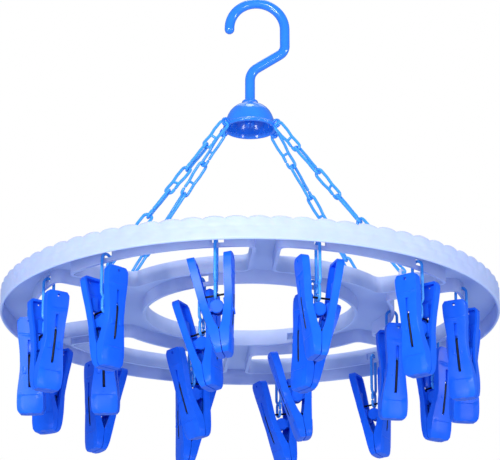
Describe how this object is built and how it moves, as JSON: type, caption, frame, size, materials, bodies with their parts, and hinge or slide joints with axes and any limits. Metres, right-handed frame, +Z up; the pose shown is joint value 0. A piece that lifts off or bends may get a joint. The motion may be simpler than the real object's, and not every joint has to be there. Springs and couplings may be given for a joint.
{
  "type": "clip drying hanger",
  "caption": "Round plastic drying hanger: a scalloped ring frame with spokes, hung by chains from a capped swivel hook, with spring clips on snap links.",
  "frame": {"origin": "on the ring frame's axis, where a rail bears under the hook's crown", "axes": "+Z up along the hook's stem; the front of the hanger faces -Y; the hook's mouth opens towards -X"},
  "size_m": [0.32, 0.32, 0.2901],
  "materials": {
    "frame_plastic": "moulded, satin gloss, pale blue-white",
    "hook_plastic": "moulded, high gloss, mid blue",
    "chain_plastic": "moulded, gloss, sky blue",
    "clip_plastic": "moulded, high gloss, royal blue",
    "spring_steel": "blackened spring wire"
  },
  "bodies": {
    "hook": {"hook": "hook_plastic"},
    "frame": {"cap": "hook_plastic", "chain_front_left": "chain_plastic", "chain_front_right": "chain_plastic", "chain_rear_right": "chain_plastic", "chain_rear_left": "chain_plastic", "ring_frame": "frame_plastic"},
    "clip_01": {"clip_01_fixed_half": "clip_plastic"},
    "jaw_01": {"clip_01_moving_half": "clip_plastic"},
    "clip_02": {"clip_02_fixed_half": "clip_plastic"},
    "jaw_02": {"clip_02_moving_half": "clip_plastic"},
    "clip_03": {"clip_03_fixed_half": "clip_plastic"},
    "jaw_03": {"clip_03_moving_half": "clip_plastic"},
    "clip_04": {"clip_04_fixed_half": "clip_plastic"},
    "jaw_04": {"clip_04_moving_half": "clip_plastic"},
    "clip_05": {"clip_05_fixed_half": "clip_plastic"},
    "jaw_05": {"clip_05_moving_half": "clip_plastic"},
    "clip_06": {"clip_06_fixed_half": "clip_plastic"},
    "jaw_06": {"clip_06_moving_half": "clip_plastic"},
    "clip_07": {"clip_07_fixed_half": "clip_plastic"},
    "jaw_07": {"clip_07_moving_half": "clip_plastic"},
    "clip_08": {"clip_08_fixed_half": "clip_plastic"},
    "jaw_08": {"clip_08_moving_half": "clip_plastic"},
    "clip_09": {"clip_09_fixed_half": "clip_plastic"},
    "jaw_09": {"clip_09_moving_half": "clip_plastic"},
    "clip_10": {"clip_10_fixed_half": "clip_plastic"},
    "jaw_10": {"clip_10_moving_half": "clip_plastic"},
    "clip_11": {"clip_11_fixed_half": "clip_plastic"},
    "jaw_11": {"clip_11_moving_half": "clip_plastic"},
    "clip_12": {"clip_12_fixed_half": "clip_plastic"},
    "jaw_12": {"clip_12_moving_half": "clip_plastic"},
    "clip_13": {"clip_13_fixed_half": "clip_plastic"},
    "jaw_13": {"clip_13_moving_half": "clip_plastic"},
    "clip_14": {"clip_14_fixed_half": "clip_plastic"},
    "jaw_14": {"clip_14_moving_half": "clip_plastic"},
    "clip_15": {"clip_15_fixed_half": "clip_plastic"},
    "jaw_15": {"clip_15_moving_half": "clip_plastic"},
    "clip_16": {"clip_16_fixed_half": "clip_plastic"},
    "jaw_16": {"clip_16_moving_half": "clip_plastic"},
    "clip_17": {"clip_17_fixed_half": "clip_plastic"},
    "jaw_17": {"clip_17_moving_half": "clip_plastic"},
    "clip_18": {"clip_18_fixed_half": "clip_plastic"},
    "jaw_18": {"clip_18_moving_half": "clip_plastic"},
    "clip_19": {"clip_19_fixed_half": "clip_plastic"},
    "jaw_19": {"clip_19_moving_half": "clip_plastic"},
    "clip_20": {"clip_20_fixed_half": "clip_plastic"},
    "jaw_20": {"clip_20_moving_half": "clip_plastic"}
  },
  "joints": [
    {"name": "hook_swivel", "type": "hinge", "parent": "hook", "child": "frame", "pos_m": [0, 0, -0.068], "axis": [0, 0, 1], "continuous": true},
    {"name": "clip_01_swing", "type": "hinge", "parent": "frame", "child": "clip_01", "pos_m": [-0.03, -0.13531, -0.2123], "axis": [0.9763, -0.2164, 0], "range_deg": [-12, 12]},
    {"name": "clip_01_squeeze", "type": "hinge", "parent": "clip_01", "child": "jaw_01", "pos_m": [-0.02899, -0.13554, -0.25413], "axis": [-0.2164, -0.9763, 0], "range_deg": [0, 14], "stiffness_Nm_per_rad": 0.15, "springref_deg": -17.19},
    {"name": "clip_02_swing", "type": "hinge", "parent": "frame", "child": "clip_02", "pos_m": [-0.09364, -0.10219, -0.2123], "axis": [0.7373, -0.6756, 0], "range_deg": [-12, 12]},
    {"name": "clip_02_squeeze", "type": "hinge", "parent": "clip_02", "child": "jaw_02", "pos_m": [-0.09321, -0.10267, -0.25417], "axis": [-0.749, -0.6626, 0], "range_deg": [0, 14], "stiffness_Nm_per_rad": 0.15, "springref_deg": -17.19},
    {"name": "clip_03_swing", "type": "hinge", "parent": "frame", "child": "clip_03", "pos_m": [-0.12851, -0.05192, -0.2123], "axis": [0.3746, -0.9272, 0], "range_deg": [-12, 12]},
    {"name": "clip_03_squeeze", "type": "hinge", "parent": "clip_03", "child": "jaw_03", "pos_m": [-0.12851, -0.05192, -0.2542], "axis": [-0.866, -0.5, 0], "range_deg": [0, 14], "stiffness_Nm_per_rad": 0.15, "springref_deg": -17.19},
    {"name": "clip_04_swing", "type": "hinge", "parent": "frame", "child": "clip_04", "pos_m": [-0.13852, 0.00484, -0.2123], "axis": [-0.0349, -0.9994, 0], "range_deg": [-12, 12]},
    {"name": "clip_04_squeeze", "type": "hinge", "parent": "clip_04", "child": "jaw_04", "pos_m": [-0.13845, 0.00522, -0.25419], "axis": [-0.9848, 0.1736, 0], "range_deg": [0, 14], "stiffness_Nm_per_rad": 0.15, "springref_deg": -17.19},
    {"name": "clip_05_swing", "type": "hinge", "parent": "frame", "child": "clip_05", "pos_m": [-0.12758, 0.05416, -0.2123], "axis": [-0.3907, -0.9205, 0], "range_deg": [-12, 12]},
    {"name": "clip_05_squeeze", "type": "hinge", "parent": "clip_05", "child": "jaw_05", "pos_m": [-0.12788, 0.05373, -0.25418], "axis": [-0.8192, 0.5736, 0], "range_deg": [0, 14], "stiffness_Nm_per_rad": 0.15, "springref_deg": -17.19},
    {"name": "clip_06_swing", "type": "hinge", "parent": "frame", "child": "clip_06", "pos_m": [-0.09274, 0.103, -0.2123], "axis": [-0.7431, -0.6691, 0], "range_deg": [-12, 12]},
    {"name": "clip_06_squeeze", "type": "hinge", "parent": "clip_06", "child": "jaw_06", "pos_m": [-0.09342, 0.10264, -0.25416], "axis": [-0.4695, 0.8829, 0], "range_deg": [0, 14], "stiffness_Nm_per_rad": 0.15, "springref_deg": -17.19},
    {"name": "clip_07_swing", "type": "hinge", "parent": "frame", "child": "clip_07", "pos_m": [-0.03, 0.13531, -0.2123], "axis": [-0.9763, -0.2164, 0], "range_deg": [-12, 12]},
    {"name": "clip_07_squeeze", "type": "hinge", "parent": "clip_07", "child": "jaw_07", "pos_m": [-0.03099, 0.13502, -0.25413], "axis": [-0.284, 0.9588, 0], "range_deg": [0, 14], "stiffness_Nm_per_rad": 0.15, "springref_deg": -17.19},
    {"name": "clip_08_swing", "type": "hinge", "parent": "frame", "child": "clip_08", "pos_m": [0.03, -0.13531, -0.2123], "axis": [0.9763, 0.2164, 0], "range_deg": [-12, 12]},
    {"name": "clip_08_squeeze", "type": "hinge", "parent": "clip_08", "child": "jaw_08", "pos_m": [0.02975, -0.13537, -0.2542], "axis": [0.2164, -0.9763, 0], "range_deg": [0, 14], "stiffness_Nm_per_rad": 0.15, "springref_deg": -17.19},
    {"name": "clip_09_swing", "type": "hinge", "parent": "frame", "child": "clip_09", "pos_m": [0.09364, -0.10219, -0.2123], "axis": [0.7373, 0.6756, 0], "range_deg": [-12, 12]},
    {"name": "clip_09_squeeze", "type": "hinge", "parent": "clip_09", "child": "jaw_09", "pos_m": [0.09364, -0.10219, -0.2542], "axis": [0.7254, -0.6884, 0], "range_deg": [0, 14], "stiffness_Nm_per_rad": 0.15, "springref_deg": -17.19},
    {"name": "clip_10_swing", "type": "hinge", "parent": "frame", "child": "clip_10", "pos_m": [0.12851, -0.05192, -0.2123], "axis": [0.3746, 0.9272, 0], "range_deg": [-12, 12]},
    {"name": "clip_10_squeeze", "type": "hinge", "parent": "clip_10", "child": "jaw_10", "pos_m": [0.12864, -0.0517, -0.2542], "axis": [0.866, -0.5, 0], "range_deg": [0, 14], "stiffness_Nm_per_rad": 0.15, "springref_deg": -17.19},
    {"name": "clip_11_swing", "type": "hinge", "parent": "frame", "child": "clip_11", "pos_m": [0.13852, 0.00484, -0.2123], "axis": [-0.0349, 0.9994, 0], "range_deg": [-12, 12]},
    {"name": "clip_11_squeeze", "type": "hinge", "parent": "clip_11", "child": "jaw_11", "pos_m": [0.13846, 0.00522, -0.25419], "axis": [0.9903, 0.1392, 0], "range_deg": [0, 14], "stiffness_Nm_per_rad": 0.15, "springref_deg": -17.19},
    {"name": "clip_12_swing", "type": "hinge", "parent": "frame", "child": "clip_12", "pos_m": [0.12758, 0.05416, -0.2123], "axis": [-0.3907, 0.9205, 0], "range_deg": [-12, 12]},
    {"name": "clip_12_squeeze", "type": "hinge", "parent": "clip_12", "child": "jaw_12", "pos_m": [0.12758, 0.05416, -0.2542], "axis": [0.8387, 0.5446, 0], "range_deg": [0, 14], "stiffness_Nm_per_rad": 0.15, "springref_deg": -17.19},
    {"name": "clip_13_swing", "type": "hinge", "parent": "frame", "child": "clip_13", "pos_m": [0.09274, 0.103, -0.2123], "axis": [-0.7431, 0.6691, 0], "range_deg": [-12, 12]},
    {"name": "clip_13_squeeze", "type": "hinge", "parent": "clip_13", "child": "jaw_13", "pos_m": [0.09341, 0.10261, -0.25416], "axis": [0.5, 0.866, 0], "range_deg": [0, 14], "stiffness_Nm_per_rad": 0.15, "springref_deg": -17.19},
    {"name": "clip_14_swing", "type": "hinge", "parent": "frame", "child": "clip_14", "pos_m": [0.03, 0.13531, -0.2123], "axis": [-0.9763, 0.2164, 0], "range_deg": [-12, 12]},
    {"name": "clip_14_squeeze", "type": "hinge", "parent": "clip_14", "child": "jaw_14", "pos_m": [0.03121, 0.13574, -0.25409], "axis": [-0.3338, 0.9426, 0], "range_deg": [0, 14], "stiffness_Nm_per_rad": 0.15, "springref_deg": -17.19},
    {"name": "clip_15_swing", "type": "hinge", "parent": "frame", "child": "clip_15", "pos_m": [-0.0341, -0.05906, -0.2123], "axis": [0.866, -0.5, 0], "range_deg": [-12, 12]},
    {"name": "clip_15_squeeze", "type": "hinge", "parent": "clip_15", "child": "jaw_15", "pos_m": [-0.03288, -0.05977, -0.25406], "axis": [-0.5, -0.866, 0], "range_deg": [0, 14], "stiffness_Nm_per_rad": 0.15, "springref_deg": -17.19},
    {"name": "clip_16_swing", "type": "hinge", "parent": "frame", "child": "clip_16", "pos_m": [-0.0918, 0, -0.2123], "axis": [0, -1, 0], "range_deg": [-12, 12]},
    {"name": "clip_16_squeeze", "type": "hinge", "parent": "clip_16", "child": "jaw_16", "pos_m": [-0.09171, 0.00051, -0.25418], "axis": [-0.9848, 0.1736, 0], "range_deg": [0, 14], "stiffness_Nm_per_rad": 0.15, "springref_deg": -17.19},
    {"name": "clip_17_swing", "type": "hinge", "parent": "frame", "child": "clip_17", "pos_m": [-0.0341, 0.05906, -0.2123], "axis": [-0.866, -0.5, 0], "range_deg": [-12, 12]},
    {"name": "clip_17_squeeze", "type": "hinge", "parent": "clip_17", "child": "jaw_17", "pos_m": [-0.03314, 0.05971, -0.25411], "axis": [-0.5592, 0.829, 0], "range_deg": [0, 14], "stiffness_Nm_per_rad": 0.15, "springref_deg": -17.19},
    {"name": "clip_18_swing", "type": "hinge", "parent": "frame", "child": "clip_18", "pos_m": [0.0341, -0.05906, -0.2123], "axis": [0.866, 0.5, 0], "range_deg": [-12, 12]},
    {"name": "clip_18_squeeze", "type": "hinge", "parent": "clip_18", "child": "jaw_18", "pos_m": [0.03288, -0.05977, -0.25406], "axis": [0.5, -0.866, 0], "range_deg": [0, 14], "stiffness_Nm_per_rad": 0.15, "springref_deg": -17.19},
    {"name": "clip_19_swing", "type": "hinge", "parent": "frame", "child": "clip_19", "pos_m": [0.0918, 0, -0.2123], "axis": [0, 1, 0], "range_deg": [-12, 12]},
    {"name": "clip_19_squeeze", "type": "hinge", "parent": "clip_19", "child": "jaw_19", "pos_m": [0.09173, 0.00051, -0.25418], "axis": [0.9903, 0.1392, 0], "range_deg": [0, 14], "stiffness_Nm_per_rad": 0.15, "springref_deg": -17.19},
    {"name": "clip_20_swing", "type": "hinge", "parent": "frame", "child": "clip_20", "pos_m": [0.0341, 0.05906, -0.2123], "axis": [-0.866, 0.5, 0], "range_deg": [-12, 12]},
    {"name": "clip_20_squeeze", "type": "hinge", "parent": "clip_20", "child": "jaw_20", "pos_m": [0.03538, 0.05915, -0.25409], "axis": [-0.0698, 0.9976, 0], "range_deg": [0, 14], "stiffness_Nm_per_rad": 0.15, "springref_deg": -17.19}
  ]
}
